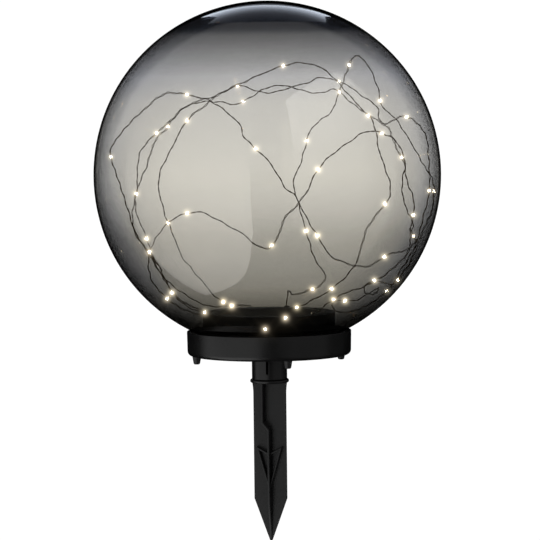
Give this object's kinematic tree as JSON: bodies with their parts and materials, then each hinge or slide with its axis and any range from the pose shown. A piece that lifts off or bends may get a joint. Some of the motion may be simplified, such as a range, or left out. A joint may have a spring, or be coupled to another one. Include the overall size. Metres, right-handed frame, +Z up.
{
  "type": "solar spike light",
  "caption": "Garden globe light on a ground spike, with a string of small lights wound inside and a solar panel in its round base.",
  "frame": {"origin": "on the spike's axis at the underside of its collar, which is the soil line", "axes": "+Z up along the spike's axis towards the globe; +Y away from the side that the picture shows"},
  "size_m": [0.3, 0.2998, 0.4684],
  "materials": {
    "black_plastic": "fine matte texture",
    "seal_rubber": "matte",
    "screw_steel": "zinc plated",
    "smoked_globe": "smoky, half mirrored, glossy",
    "panel_board": "matte",
    "solar_silicon": "glossy dark blue",
    "clear_plastic": "clear",
    "battery_can": "plain sleeve",
    "contact_metal": "nickel plated",
    "switch_plastic": "matte",
    "board_green": "solder mask",
    "lead_red": "plain insulation",
    "lead_black": "plain insulation",
    "enamelled_copper": "dark enamel",
    "led_resin": "clear resin bead, warm white light"
  },
  "bodies": {
    "spike": {"spike": "black_plastic"},
    "lamp": {"bottom_cover": "black_plastic", "base_housing": "black_plastic", "cover_seal": "seal_rubber", "feet": "seal_rubber", "cover_screws": "screw_steel", "globe": "smoked_globe", "globe_seal": "seal_rubber", "panel_backing": "panel_board", "solar_cells": "solar_silicon", "panel_cover": "clear_plastic", "battery_cell": "battery_can", "contact_plus": "contact_metal", "contact_minus": "contact_metal", "switch_body": "switch_plastic", "circuit_board": "board_green", "board_parts": "switch_plastic", "board_screws": "screw_steel", "panel_leads": "lead_red", "battery_leads": "lead_black", "wire_grommet": "seal_rubber", "light_wire": "enamelled_copper", "led_drops": "led_resin"},
    "switch": {"switch_knob": "black_plastic"},
    "door": {"battery_door": "black_plastic", "door_seal": "seal_rubber", "door_screws": "screw_steel"}
  },
  "joints": [
    {"name": "lamp_lift", "type": "slide", "parent": "spike", "child": "lamp", "axis": [0, 0, 1], "range_m": [0, 0.04]},
    {"name": "switch_slide", "type": "slide", "parent": "lamp", "child": "switch", "axis": [1, 0, 0], "range_m": [0, 0.003]},
    {"name": "door_off", "type": "slide", "parent": "lamp", "child": "door", "axis": [0, 0, -1], "range_m": [0, 0.02]}
  ]
}
